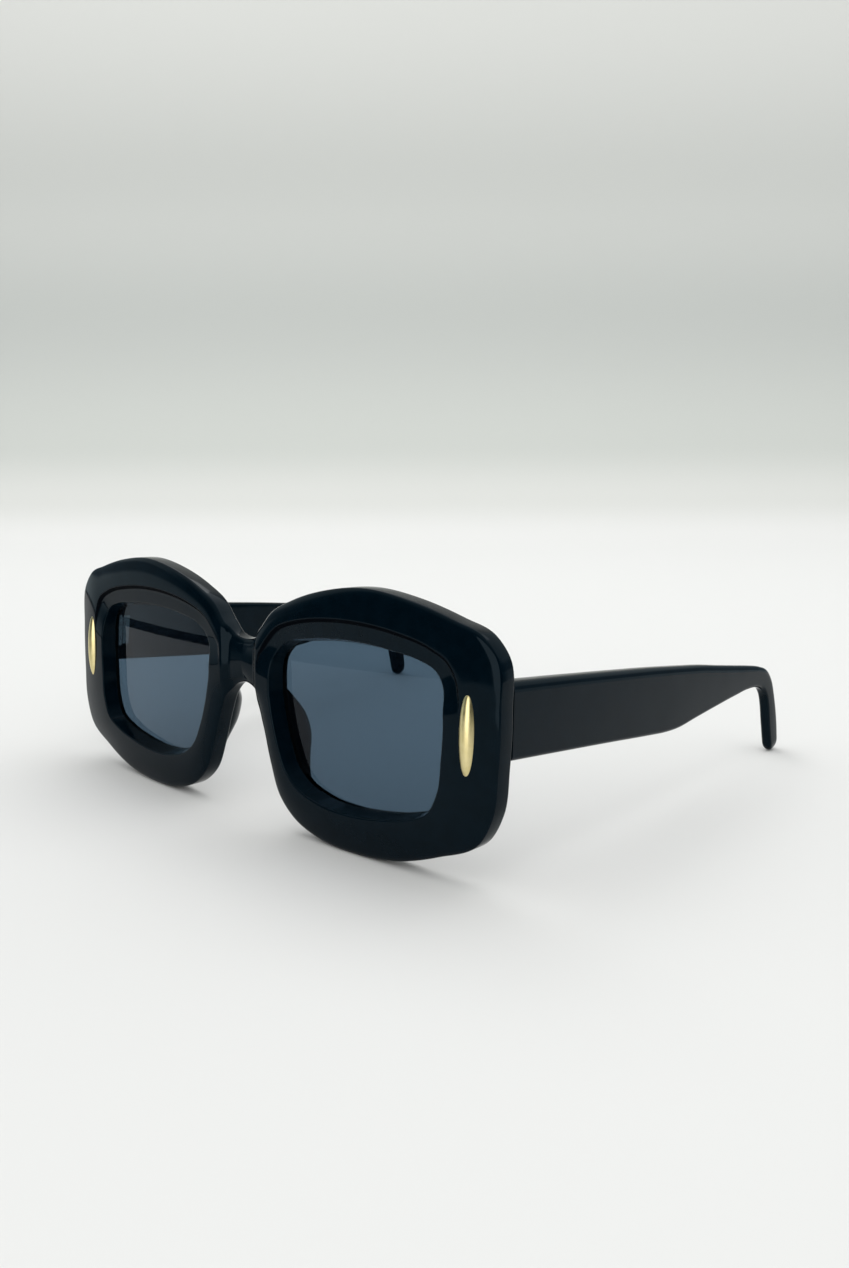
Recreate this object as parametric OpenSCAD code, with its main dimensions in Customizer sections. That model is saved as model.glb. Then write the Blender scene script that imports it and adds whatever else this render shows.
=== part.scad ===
// Oversized sunglasses: a thick acetate front with a stepped rim, two tinted lenses in V-grooves,
// glued nose pads, gold spindle inlays, five-barrel hinges and two wide temples with wire cores.
// Millimetres. The part stands on its two rims and two temple tips; the wearer looks towards -Y.

/* [Front] */
// Width of the front, from side to side
front_w = 143.2; // [140:0.2:147]
// Height of the front, from the rims' lowest points to the brows
front_h = 56.4; // [54:0.2:59]
// Thickness of the front, from its crown to its back face
front_t = 5.6; // [5.4:0.1:6.4]
// How far the front's two sides curve back behind its middle
front_wrap = 3.6; // [2.4:0.1:4.4]
// How far the standing front leans back, in degrees
front_lean = 2.2; // [1.4:0.1:3]
// Width of the rolled edge round the front
roll_w = 1.2; // [0.8:0.1:1.6]
// Depth of the rolled edge round the front
roll_d = 0.5; // [0.3:0.1:0.8]
// How far the pillowed face falls back from its crown to the front's outline
face_fall = 1; // [0.6:0.1:1.3]
// Radius of the softened edge round the back
back_roll = 0.8; // [0.5:0.1:1]
// How far the bridge is set back from the rims
bridge_set = 1.2; // [0.8:0.1:1.4]
// Width of the set-back panel of the bridge
panel_w = 8; // [6.4:0.2:9]

/* [Lenses] */
// Width of the front beside each lens opening, which carries the inlay and the hinge
side_w = 12.4; // [11.6:0.2:13.4]
// Height of each lens opening
eye_h = 36.6; // [34:0.2:38]
// Distance between the two lens openings
bridge_w = 21.6; // [20.6:0.2:23]
// Width of the shelf that steps down to each opening under the brow
shelf_w = 4; // [3:0.1:4.6]
// Depth of the step between the brow and its shelf
step_d = 0.7; // [0.3:0.1:0.9]
// How far each opening narrows towards its lens
eye_draft = 0.8; // [0.5:0.1:1]
// Depth of the lens groove
groove_d = 0.75; // [0.5:0.05:0.9]
// Thickness of the lenses
lens_t = 1.7; // [1.5:0.1:1.9]
// Gap between a lens and its groove
lens_gap = 0.05; // [0.03:0.01:0.08]

/* [Nose pads] */
// Height of the nose pads behind the front
pad_h = 5.3; // [4.4:0.1:5.6]
// Width of each nose pad across its upper end
pad_w = 5; // [4.2:0.1:5.4]
// How much narrower each nose pad is at its lower end
pad_taper = 1.8; // [1:0.1:2.2]
// Thickness of the glue line under a nose pad
pad_glue = 0.05; // [0.03:0.01:0.1]

/* [Inlays] */
// Length of each gold spindle
inlay_l = 15.9; // [14:0.1:17]
// Width of each gold spindle
inlay_w = 3.3; // [3:0.1:4]
// How far a spindle stands proud of the front
inlay_proud = 1.1; // [0.8:0.1:1.3]
// How deep a spindle is let into the front
inlay_sink = 0.9; // [0.7:0.1:1.1]
// Distance from a spindle's middle to the front's side
inlay_in = 6.7; // [6.2:0.1:7.2]
// Radius of a spindle's two studs
stud_r = 0.5; // [0.4:0.05:0.6]
// Gap round a let-in metal piece
seat_gap = 0.04; // [0.03:0.01:0.08]

/* [Hinges] */
// Radius of the hinge barrels
barrel_r = 1.6; // [1.4:0.05:1.7]
// Height of each of the five barrels
barrel_h = 1.4; // [1.2:0.05:1.5]
// Gap between one barrel and the next
barrel_gap = 0.1; // [0.08:0.01:0.12]
// Radius of the hinge screw's shank
screw_r = 0.7; // [0.6:0.05:0.8]
// Running clearance round the screw in the temple's barrels
screw_gap = 0.05; // [0.03:0.01:0.08]
// Distance from the hinge pin to the temple's inner face
pin_side = 2.2; // [2.1:0.05:2.5]
// Distance from the hinge pin to the front's back face
pin_back = 2.6; // [2.4:0.05:2.9]
// Thickness of the hinge plates
plate_t = 1; // [0.8:0.1:1.1]

/* [Temples] */
// Distance from the hinge pin to the rear of the temple tip
temple_reach = 122.6; // [116:0.2:130]
// Height of the temple at the hinge
temple_h = 15.6; // [14:0.2:17]
// Thickness of the temple at the hinge
temple_t = 4.4; // [4.2:0.1:4.8]
// Thickness of the temple at its tip
tip_t = 2.7; // [2.4:0.1:3.2]
// Gap between the open temple and the front
butt_gap = 0.25; // [0.2:0.01:0.35]
// Slope of the temples down from the front's own level, in degrees
temple_tilt = 4.45; // [4:0.05:5]
// Radius of the wire core
core_r = 0.7; // [0.5:0.05:0.8]
// Gap round the wire core
core_gap = 0.04; // [0.03:0.01:0.06]

/* [Hidden] */
$fn = 48;

acetate = [0.03, 0.04, 0.05];
tint = [0.25, 0.32, 0.38, 0.7];
gold = [0.86, 0.8, 0.55];
steel = [0.7, 0.71, 0.72];

// One overrun serves all cuts
cut = 1;

// Half of the front's outline, from the valley over the brow and the side to the arch of the nose,
// as shares of half the width and of the height above the level of the temples
outline_shares = [
    [0, 0.188], [0.047, 0.199], [0.089, 0.245], [0.142, 0.317], [0.237, 0.378], [0.370, 0.431],
    [0.531, 0.459], [0.698, 0.436], [0.845, 0.388], [0.936, 0.348], [0.986, 0.277], [1, 0.089],
    [0.997, -0.106], [0.983, -0.275], [0.944, -0.372], [0.810, -0.459], [0.663, -0.520],
    [0.510, -0.541], [0.356, -0.528], [0.251, -0.480], [0.187, -0.408], [0.144, -0.284],
    [0.108, -0.142], [0.075, -0.048], [0.038, -0.004], [0, 0.009]];

// A lens opening, point for point with the outline and then up the bridge,
// as shares of its width and height from its centre
eye_shares = [
    [-0.490, 0.311], [-0.467, 0.358], [-0.430, 0.404], [-0.377, 0.443], [-0.280, 0.470],
    [-0.126, 0.495], [0.060, 0.500], [0.235, 0.481], [0.368, 0.454], [0.444, 0.413],
    [0.484, 0.339], [0.500, 0.186], [0.496, -0.046], [0.477, -0.251], [0.430, -0.366],
    [0.317, -0.434], [0.163, -0.478], [-0.002, -0.500], [-0.177, -0.484], [-0.307, -0.426],
    [-0.381, -0.344], [-0.430, -0.219], [-0.467, -0.077], [-0.484, 0.011], [-0.490, 0.055],
    [-0.496, 0.087], [-0.500, 0.164], [-0.500, 0.240]];

// A nose pad's section, as shares of its width and height, from the nose side over the ridge
pad_shares = [[0, 0], [0.03, 0.3], [0.18, 0.62], [0.42, 0.88], [0.66, 1], [0.86, 0.95],
              [0.97, 0.76], [0.95, 0.4], [0.92, 0]];
// Its height along its length, as shares of the full height
pad_height_shares = [0.2, 0.55, 0.8, 0.93, 1, 0.97, 0.81, 0.63, 0.49, 0.41, 0.37, 0.27, 0.08];

// The temple's upper and lower edges along the arm, as shares of its reach and its height
arm_top_shares = [[0, 0.500], [0.12, 0.497], [0.285, 0.487], [0.424, 0.474], [0.489, 0.462],
                  [0.538, 0.452], [0.604, 0.436], [0.685, 0.397], [0.767, 0.359],
                  [0.832, 0.330], [0.881, 0.295], [0.918, 0.224], [0.943, 0.058]];
arm_low_shares = [[0, -0.497], [0.12, -0.503], [0.285, -0.513], [0.424, -0.526], [0.481, -0.526],
                  [0.526, -0.502], [0.595, -0.398], [0.681, -0.268], [0.763, -0.150],
                  [0.828, -0.068], [0.869, -0.056], [0.896, -0.103], [0.914, -0.218]];
// Their run down the drop behind the ear, as shares of the reach and of the drop to the table
drop_top_shares = [[0.962, -0.160], [0.980, -0.400], [0.993, -0.625], [1, -0.800]];
drop_low_shares = [[0.927, -0.330], [0.937, -0.525], [0.948, -0.725], [0.958, -0.900]];
// Where the tip's lowest point lies along the reach, and the share of the drop that its round end takes
tip_share = 0.98;
tip_round_share = 0.15;

// Steps between one control point and the next
steps = 3;
wire_steps = 2;

// The levels of the openings' centres and of the hinges, as shares of the front's height
eye_level_share = -0.067;
pin_level_share = 0.048;
inlay_level_share = 0.003;

// The front's relief: how far the step's rounded edge, the shelf and the lip round each opening fall
step_e = 0.08;
shelf_e = 0.3;
lip_e = 0.3;
// Where there is no step, the crown lies this far from the opening, and at most this share of the rim
crown_in = 1.2;
crown_most_share = 0.3;
// Widths of the step, of the ridge over it, of the lip and of the slope beside the bridge's panel
step_w = 0.9;
ridge_w = 1.3;
lip_w = 0.4;
slope_w = 2.4;
// The step has its full depth above the first of these shares of the opening's height, counted
// from its centre, and is gone at the second
step_full_share = 0.4;
step_gone_share = 0.18;
// The acetate behind each lens
lens_back = 0.35;

half_w = front_w / 2;
// The bridge and the two sides leave the rest of the width to the two openings
eye_w = half_w - bridge_w / 2 - side_w;
eye_x = (bridge_w + eye_w) / 2;
eye_z = eye_level_share * front_h;
lens_e = front_t - lens_t - lens_back;
wrap_rate = front_wrap / pow(half_w, 2);

// The temples' outer faces lie a little inside the front's sides
temple_set = 0.3;
temple_out = half_w - temple_set;
pin_x = temple_out - temple_t - pin_side;
pin_y = front_t + wrap_rate * pow(pin_x, 2) + pin_back;
pin_z = pin_level_share * front_h;
// The middle of the barrels stands above the arm's own middle
pin_v = 0.6;
stack_h = 5 * barrel_h + 4 * barrel_gap;
// The plates reach a little past the barrels, above, below and to the side
plate_past = 0.2;
plate_h = stack_h + 2 * plate_past;
// The tilted barrels' stems meet the front's plate this much above the barrels
stem_rise = (pin_back + plate_t / 2) * sin(temple_tilt);
// The front's plate reaches inwards to this far from the lens opening
plate_in = 1.9;
front_plate_w = pin_x + barrel_r + plate_past - (half_w - side_w + plate_in);
temple_plate_l = 7;
peg_r = 0.6;
peg_l = 1.2;
head_r = 1.25;
head_h = 0.7;
slot_w = 0.35;
slot_d = 0.35;

// Smooth curve through points: the tangent at b and the place a share t of the way from b to c
function tangent(a, b, c) =
    let (u = norm(b - a), w = norm(c - b)) ((b - a) * w / u + (c - b) * u / w) / (u + w);
function between(b, c, tb, tc, t) =
    let (d = norm(c - b))
    (2 * pow(t, 3) - 3 * t * t + 1) * b + (pow(t, 3) - 2 * t * t + t) * d * tb
    + (3 * t * t - 2 * pow(t, 3)) * c + (pow(t, 3) - t * t) * d * tc;
function through(before, pts, after, n) =
    let (all = concat([before], pts, [after]))
    concat([for (i = [1 : len(pts) - 1], j = [0 : n - 1])
                between(all[i], all[i + 1], tangent(all[i - 1], all[i], all[i + 1]),
                        tangent(all[i], all[i + 1], all[i + 2]), j / n)],
           [pts[len(pts) - 1]]);
function scaled(shares, w, h) = [for (s = shares) [s[0] * w, s[1] * h]];
function flipped(p) = [-p[0], p[1]];
function mix(a, b, t) = a + (b - a) * t;
function smooth(t) = let (c = min(max(t, 0), 1)) c * c * (3 - 2 * c);

// The outline and the opening, sampled in step with each other
outline_pts = scaled(outline_shares, half_w, front_h);
outline = through(flipped(outline_pts[1]), outline_pts, flipped(outline_pts[len(outline_pts) - 2]), steps);
eye_pts = scaled(eye_shares, eye_w, eye_h);
eye_loop = through(eye_pts[len(eye_pts) - 1], concat(eye_pts, [eye_pts[0]]), eye_pts[1], steps);
arch_k = len(outline) - 1;
rows = len(eye_loop) - 1;

function wrap(x) = wrap_rate * x * x;
function saddle(x) = bridge_set * (1 - smooth((abs(x) - panel_w / 2) / slope_w));
function along(k) =
    let (d = k == 0 ? outline[1] - flipped(outline[1])
           : k == arch_k ? flipped(outline[k - 1]) - outline[k - 1] : outline[k + 1] - outline[k - 1])
    d / norm(d);
function inward(k) = let (d = along(k)) [d[1], -d[0]];
function edge(k, a) =
    k <= arch_k ? outline[k] + inward(k) * a
    : mix(edge(arch_k, a), edge(0, a), (k - arch_k) / (rows - arch_k));
function eye(k) = [eye_x, eye_z] + eye_loop[k];
function face_way(k) = let (d = eye(k) - edge(k, roll_w)) d / norm(d);
function from_eye(k, b) = eye(k) - face_way(k) * b;
function front_at(p, e) = [p[0], wrap(p[0]) + e + saddle(p[0]), p[1]];
function back_at(p, e) = [p[0], wrap(p[0]) + e, p[1]];

// One section of the rim: round the rolled edge, over the face, down the shelf and through the eye
groove_mid = lens_e + lens_t / 2;
// The shelf and the step take at most these shares of the face between the rolled edge and the eye,
// and the ridge at most this share of what they leave
shelf_most_share = 0.62;
step_most_share = 0.2;
ridge_most_share = 0.6;
// The softened back edge is a chamfer with its corner cut this share of the way down each side
back_cut_share = 0.3;
// The share of the step's depth at a share of the opening's height
function step_share(z_share) = smooth((z_share - step_gone_share) / (step_full_share - step_gone_share));
// The fall of the face at b from the eye. On the bridge only the upper and lower edges have it
function fall(k, b, whole, crown) =
    let (t = max(k - arch_k, 0) / (rows - arch_k))
    face_fall * (k > arch_k ? pow(2 * t - 1, 2) : 1) * pow(max(b - crown, 0) / (whole - crown), 2);
function rim_section(k) =
    let (rim = norm(eye(k) - edge(k, roll_w)), whole = rim + roll_w,
         shelf = min(shelf_w, shelf_most_share * rim), soft = min(step_w, step_most_share * rim),
         step_b = shelf + soft / 2, ridge_b = step_b + min(ridge_w, ridge_most_share * (rim - step_b)),
         face_b = mix(rim, ridge_b, 0.5), foot_b = shelf - soft / 2,
         share = step_share(eye_loop[k][1] / eye_h), step = step_d * share,
         crown = mix(min(crown_in, crown_most_share * rim), ridge_b, share))
    [back_at(edge(k, back_roll), front_t),
     back_at(edge(k, back_cut_share * back_roll), front_t - back_cut_share * back_roll),
     back_at(edge(k, 0), front_t - back_roll),
     each [for (a = [0, 30, 60, 90])
         let (in = roll_w * (1 - cos(a)))
         front_at(edge(k, in), fall(k, whole - in, whole, crown) + roll_d * (1 - sin(a)))],
     front_at(from_eye(k, face_b), fall(k, face_b, whole, crown)),
     front_at(from_eye(k, ridge_b), fall(k, ridge_b, whole, crown)),
     front_at(from_eye(k, step_b), fall(k, step_b, whole, crown) + step_e * share),
     front_at(from_eye(k, shelf), fall(k, shelf, whole, crown) + step / 2),
     front_at(from_eye(k, foot_b), fall(k, foot_b, whole, crown) + step),
     front_at(from_eye(k, lip_w), step + shelf_e * share),
     front_at(from_eye(k, 0), step + shelf_e * share + lip_e),
     back_at(from_eye(k, -eye_draft), lens_e),
     back_at(from_eye(k, groove_d - eye_draft), groove_mid),
     back_at(from_eye(k, -eye_draft), lens_e + lens_t),
     back_at(from_eye(k, lip_w - eye_draft), front_t)];
rim = [for (k = [0 : rows - 1]) rim_section(k)];
ring = len(rim[0]);
// The last of a section's points that lie on the rolled edge
roll_j = 6;
sides = rows * ring;

function shared(k, j) = (k == 0 || k >= arch_k) && j <= roll_j;
function rim_point(k, j, side) =
    let (kk = k % rows) kk * ring + j % ring + (side < 0 && !shared(kk, j % ring) ? sides : 0);
function quad(a, b, c, d) = [[a, b, c], [a, c, d]];

module front_blank() {
    right = [for (s = rim) each s];
    left = [for (p = right) [-p[0], p[1], p[2]]];
    polyhedron(
        points = concat(right, left),
        faces = [for (side = [1, -1], k = [0 : rows - 1], j = [0 : ring - 1])
                     if (k < arch_k || j >= roll_j)
                         each side < 0
                             ? quad(rim_point(k, j, -1), rim_point(k, j + 1, -1),
                                    rim_point(k + 1, j + 1, -1), rim_point(k + 1, j, -1))
                             : quad(rim_point(k, j, 1), rim_point(k + 1, j, 1),
                                    rim_point(k + 1, j + 1, 1), rim_point(k, j + 1, 1))],
        convexity = 10);
}

// The standing front: its lowest rim point is at the table, and the whole part is centred along Y
function lift(p) = p[2] * cos(front_lean) - p[1] * sin(front_lean);
function reach(p) = p[1] * cos(front_lean) + p[2] * sin(front_lean);
front_z = -min([for (s = rim) each [for (p = s) lift(p)]]);
front_y = min([for (s = rim) each [for (p = s) reach(p)]]);
pin_up = front_z + lift([pin_x, pin_y, pin_z]);
slope = temple_tilt + front_lean;

// The temple in the hinge's frame: Y runs back along the arm, Z up along the pin
tip_y = temple_reach * tip_share;
drop = (pin_up - tip_y * sin(slope)) / cos(slope);
top_pts = concat(scaled(arm_top_shares, temple_reach, temple_h), scaled(drop_top_shares, temple_reach, drop));
low_pts = concat(scaled(arm_low_shares, temple_reach, temple_h), scaled(drop_low_shares, temple_reach, drop));
function open_curve(pts, n) =
    through(2 * pts[0] - pts[1], pts, 2 * pts[len(pts) - 1] - pts[len(pts) - 2], n);
top_edge = open_curve(top_pts, steps);
low_edge = open_curve(low_pts, steps);
temple_face = pin_side + temple_t;

function thickness(y) = mix(temple_t, tip_t, min(y / temple_reach, 1));
// The butt end follows the front's curved back
function butt_y(x, z) =
    (front_t + wrap(pin_x + x) + butt_gap - pin_y - z * sin(temple_tilt)) / cos(temple_tilt);
function corner(x, z, rx, rz, from) =
    [for (a = [0, 30, 60, 90]) [x + rx * cos(from + a), z + rz * sin(from + a)]];
// The arm's upper outer edge is a broad round, and its other three edges are small ones
bevel_x = 1.5;
bevel_z = 2.3;
soft_r = 1.1;
// No round takes more than these shares of the arm's thickness and of half its height
thick_share = 0.4;
high_share = 0.6;
function temple_profile(t, h) =
    let (rx = min(bevel_x, thick_share * t), rz = min(bevel_z, high_share * h),
         r = min(soft_r, thick_share * t))
    concat(corner(-rx, h - rz, rx, rz, 0), corner(r - t, h - r, r, r, 90),
           corner(r - t, r - h, r, r, 180), corner(-r, r - h, r, r, 270));
function temple_ring(mid, up, h, t, first) =
    [for (q = temple_profile(t, h))
        let (p = mid + up * q[1], x = temple_face + q[0]) [x, first ? butt_y(x, p[1]) : p[0], p[1]]];
last_k = len(top_edge) - 1;
function mid_k(k) = (top_edge[k] + low_edge[k]) / 2;
function half_k(k) = norm(top_edge[k] - low_edge[k]) / 2;
function up_k(k) = (top_edge[k] - low_edge[k]) / (2 * half_k(k));
tip_way = [up_k(last_k)[1], -up_k(last_k)[0]];
tip_round = tip_round_share * drop;
temple_rings = concat(
    [for (k = [0 : last_k])
        temple_ring(mid_k(k), up_k(k), half_k(k), thickness(mid_k(k)[0]), k == 0)],
    [for (a = [35, 60, 80])
        let (rise = mid_k(last_k) + tip_way * tip_round * sin(a))
        [for (q = temple_profile(tip_t, half_k(last_k)))
            let (p = rise + up_k(last_k) * q[1] * cos(a))
            [temple_face - tip_t / 2 + (q[0] + tip_t / 2) * cos(a), p[0], p[1]]]]);
tip_point = let (p = mid_k(last_k) + tip_way * tip_round) [temple_face - tip_t / 2, p[0], p[1]];

// The wire runs down the middle of the temple and stops short of the tip
wire_end = len(top_pts) - 2;
wire_pts = [for (i = [0 : wire_end]) (top_pts[i] + low_pts[i]) / 2];
wire_line = open_curve(wire_pts, wire_steps);
wire_sides = 8;
function wire_way(k) =
    let (d = wire_line[min(k + 1, len(wire_line) - 1)] - wire_line[max(k - 1, 0)]) d / norm(d);
function wire_ring(k, r) =
    let (c = wire_line[k], way = wire_way(k), x = temple_face - thickness(c[0]) / 2)
    [for (i = [1 : wire_sides])
        let (a = 360 * i / wire_sides, p = c + [-way[1], way[0]] * r * sin(a), px = x + r * cos(a))
        [px, k == 0 ? butt_y(px, p[1]) : p[0], p[1]]];
function wire_rings(r) = [for (k = [0 : len(wire_line) - 1]) wire_ring(k, r)];
around = 16;

// Faces of a tube of n-sided rings, from ring a to ring b, whose points start at number from
function tube_faces(n, count, from) =
    [for (k = [0 : count - 2], j = [0 : n - 1])
        each quad(from + k * n + j, from + (k + 1) * n + j,
                  from + (k + 1) * n + (j + 1) % n, from + k * n + (j + 1) % n)];
function turned(faces) = [for (f = faces) [f[2], f[1], f[0]]];

module temple_blank() {
    bore = wire_rings(core_r + core_gap);
    outer_n = len(temple_rings) * around;
    bore_n = len(bore) * wire_sides;
    bore_from = outer_n + 1;
    polyhedron(
        points = concat([for (s = temple_rings) each s], [tip_point], [for (s = bore) each s]),
        faces = concat(
            turned(tube_faces(around, len(temple_rings), 0)),
            [for (j = [0 : around - 1]) [outer_n - around + (j + 1) % around, outer_n, outer_n - around + j]],
            tube_faces(wire_sides, len(bore), bore_from),
            [[for (j = [0 : wire_sides - 1]) bore_from + bore_n - 1 - j]],
            [for (i = [0 : wire_sides - 1])
                let (a = 2 * i, b = 2 * i + 1, c = (2 * i + 2) % around,
                     m = bore_from + i, n = bore_from + (i + 1) % wire_sides)
                each [[m, b, a], [m, c, b], [m, n, c]]]),
        convexity = 10);
}

module core_wire() {
    wire = wire_rings(core_r);
    count = len(wire) * wire_sides;
    color(steel)
        polyhedron(
            points = [for (s = wire) each s],
            faces = concat(
                turned(tube_faces(wire_sides, len(wire), 0)),
                [[for (j = [0 : wire_sides - 1]) wire_sides - 1 - j]],
                [[for (j = [0 : wire_sides - 1]) count - wire_sides + j]]),
            convexity = 6);
}

// Placing: the front's own frame, the wearer's left or right, and a hinge's frame
rear_y = max([for (s = temple_rings) each [for (p = s)
    reach([0, pin_y + p[1] * cos(temple_tilt) + p[2] * sin(temple_tilt),
           pin_z - p[1] * sin(temple_tilt) + p[2] * cos(temple_tilt)])]]);
module stand() translate([0, -(front_y + rear_y) / 2, front_z]) rotate([-front_lean, 0, 0]) children();
module on_side(side) mirror([side < 0 ? 1 : 0, 0, 0]) children();
module at_hinge() translate([pin_x, pin_y, pin_z]) rotate([-temple_tilt, 0, 0]) children();
module at_back(x, z) translate([x, front_t + wrap(x), z]) rotate([0, 0, atan(2 * wrap_rate * x)]) children();

// Gold spindle: straight sides let into the front, a turned crown, and two studs behind
inlay_x = half_w - inlay_in;
inlay_z = inlay_level_share * front_h;
stud_share = 0.28;
stud_z = stud_share * inlay_l;
stud_l = 1.2;
spindle_n = 12;
// Half its width at a share t of its half length
function spindle_w(t) = inlay_w / 2 * pow(1 - t * t, 0.45);
function spindle_line(n) = [for (i = [-n : n]) sin(90 * i / n)];
crown_e = (pow(inlay_w / 2, 2) - pow(inlay_proud, 2)) / (2 * inlay_proud);
module spindle_plan(gap) {
    ts = spindle_line(spindle_n);
    line = [for (t = ts) [spindle_w(t) + gap, t * (inlay_l / 2 + gap)]];
    polygon(concat(line, [for (i = [len(ts) - 1 : -1 : 0]) [-line[i][0], line[i][1]]]));
}
module inlay_sides(gap, proud) translate([0, inlay_sink + gap, 0]) rotate([90, 0, 0])
    linear_extrude(inlay_sink + gap + proud) spindle_plan(gap);
module studs(gap) {
    for (z = [-stud_z, stud_z])
        translate([0, inlay_sink / 2, z]) rotate([-90, 0, 0])
            cylinder(r = stud_r + gap, h = inlay_sink / 2 + stud_l + gap);
}
module crown() {
    translate([0, crown_e, 0]) rotate_extrude()
        polygon(concat([[0, -inlay_l / 2]],
                       [for (t = spindle_line(spindle_n))
                           [sqrt(pow(crown_e, 2) + pow(spindle_w(t), 2)), t * inlay_l / 2]],
                       [[0, inlay_l / 2]]));
}
// It sits square on the pillowed face beside the opening
inlay_b = side_w - inlay_in - crown_in;
inlay_whole = side_w - crown_in;
inlay_e = face_fall * pow(inlay_b / inlay_whole, 2);
inlay_turn = atan(2 * wrap_rate * inlay_x + 2 * face_fall * inlay_b / pow(inlay_whole, 2));
module at_inlay() translate([inlay_x, wrap(inlay_x) + inlay_e, inlay_z]) rotate([0, 0, inlay_turn]) children();
module inlay() color(gold) at_inlay() {
    intersection() {
        inlay_sides(0, inlay_w);
        crown();
    }
    studs(0);
}

// Hinge plates, each with two pegs that hold it in the acetate
front_plate_x = pin_x + barrel_r + plate_past - front_plate_w / 2;
module front_plate(gap, over) {
    at_back(front_plate_x, pin_z + pin_v + stem_rise) {
        translate([-front_plate_w / 2 - gap, -plate_t - gap, -plate_h / 2 - gap])
            cube([front_plate_w + 2 * gap, plate_t + gap + over, plate_h + 2 * gap]);
        for (z = [-plate_h / 4, plate_h / 4])
            translate([-front_plate_w / 4, -plate_t - peg_l - gap, z]) rotate([-90, 0, 0])
                cylinder(r = peg_r + gap, h = plate_t / 2 + peg_l + gap);
    }
}
temple_plate_y = -barrel_r;
temple_plate_x = temple_face - thickness(temple_plate_l / 2);
module temple_plate(gap, over) {
    translate([temple_plate_x - over, temple_plate_y - gap, pin_v - plate_h / 2 - gap])
        cube([plate_t + gap + over, temple_plate_l + 2 * gap, plate_h + 2 * gap]);
    for (y = [temple_plate_l / 4, 3 * temple_plate_l / 4])
        translate([temple_plate_x + plate_t / 2, temple_plate_y + y, pin_v + plate_h / 4]) rotate([0, 90, 0])
            cylinder(r = peg_r + gap, h = plate_t / 2 + peg_l + gap);
}

// Five barrels on one pin: 0, 2 and 4 belong to the front, 1 and 3 to the temple.
// Each stands on a stem that is a little narrower
stem_w = 2 * barrel_r - plate_past;
function barrel_z(i) = pin_v - stack_h / 2 + i * (barrel_h + barrel_gap);
module barrel(i, bore, stem_l, stem_way) {
    translate([0, 0, barrel_z(i)]) linear_extrude(barrel_h) difference() {
        union() {
            circle(r = barrel_r);
            rotate(stem_way) translate([0, -stem_w / 2]) square([stem_l, stem_w]);
        }
        circle(r = bore);
    }
}
module front_hinge() color(steel) {
    front_plate(0, 0);
    // The stems end inside the plate
    for (i = [0, 2, 4]) at_hinge() barrel(i, screw_r + screw_gap / 2, pin_back + plate_t / 2, -90);
}
module temple_hinge() color(steel) at_hinge() {
    temple_plate(0, 0);
    for (i = [1, 3]) barrel(i, screw_r + screw_gap, pin_side + plate_t / 2, 0);
}
module hinge_screw() color(steel) at_hinge() {
    top = pin_v + stack_h / 2;
    translate([0, 0, pin_v - stack_h / 2]) cylinder(r = screw_r, h = stack_h);
    difference() {
        translate([0, 0, top]) cylinder(r = head_r, h = head_h);
        translate([-head_r - cut, -slot_w / 2, top + head_h - slot_d])
            cube([2 * (head_r + cut), slot_w, slot_d + cut]);
    }
}

module front_frame() color(acetate) difference() {
    front_blank();
    for (side = [1, -1]) on_side(side) {
        at_inlay() {
            inlay_sides(seat_gap, inlay_w);
            studs(seat_gap);
        }
        front_plate(seat_gap, cut);
    }
}

// A lens follows the front's curve; its bevelled edge lies in the groove
lens_mid_share = 0.55;
function lens_edge(k, b, e) = back_at(from_eye(k, b), e);
function lens_half(k, e) = back_at(mix([eye_x, eye_z], from_eye(k, -eye_draft), lens_mid_share), e);
module lens() color(tint) {
    front_e = lens_e + lens_gap;
    back_e = lens_e + lens_t - lens_gap;
    rings = [[for (k = [0 : rows - 1]) lens_half(k, front_e)],
             [for (k = [0 : rows - 1]) lens_edge(k, -eye_draft, front_e)],
             [for (k = [0 : rows - 1]) lens_edge(k, groove_d - eye_draft - 2 * lens_gap, groove_mid)],
             [for (k = [0 : rows - 1]) lens_edge(k, -eye_draft, back_e)],
             [for (k = [0 : rows - 1]) lens_half(k, back_e)]];
    count = len(rings) * rows;
    polyhedron(
        points = concat([for (r = rings) each r],
                        [back_at([eye_x, eye_z], front_e), back_at([eye_x, eye_z], back_e)]),
        faces = concat(
            tube_faces(rows, len(rings), 0),
            [for (k = [0 : rows - 1]) [count, k, (k + 1) % rows]],
            [for (k = [0 : rows - 1]) [count + 1, count - rows + (k + 1) % rows, count - rows + k]]),
        convexity = 6);
}

// A nose pad is lofted along the nose side of the rim, from below the arch to the rim's corner
pad_first = 23 * steps;
pad_last = 19.34 * steps;
pad_n = len(pad_height_shares) - 1;
// Its foot starts just clear of the front's softened back edge, and its ends are cut a little short
pad_clear = 0.1;
pad_in = back_roll + pad_clear;
pad_end_share = 0.02;
pad_pts = len(pad_shares);
function at_k(k, a) = let (f = floor(k)) mix(edge(f, a), edge(f + 1, a), k - f);
function pad_ring(i) =
    let (t = i / pad_n, slant = pad_taper * pow(t, 1.5),
         k = mix(pad_first, pad_last, mix(pad_end_share, 1 - pad_end_share, t)))
    [for (s = pad_shares)
        back_at(at_k(k, pad_in + slant + s[0] * (pad_w - slant)),
                front_t + pad_glue + s[1] * pad_h * pad_height_shares[i])];
module nose_pad() color(acetate) {
    rings = [for (i = [0 : pad_n]) pad_ring(i)];
    count = len(rings) * pad_pts;
    polyhedron(
        points = [for (r = rings) each r],
        faces = concat(
            tube_faces(pad_pts, len(rings), 0),
            [for (j = [1 : pad_pts - 2]) [0, j, j + 1]],
            [for (j = [1 : pad_pts - 2]) [count - pad_pts, count - pad_pts + j + 1, count - pad_pts + j]]),
        convexity = 6);
}

module temple() color(acetate) at_hinge() difference() {
    temple_blank();
    temple_plate(seat_gap, cut);
}
module temple_core() at_hinge() core_wire();

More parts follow.
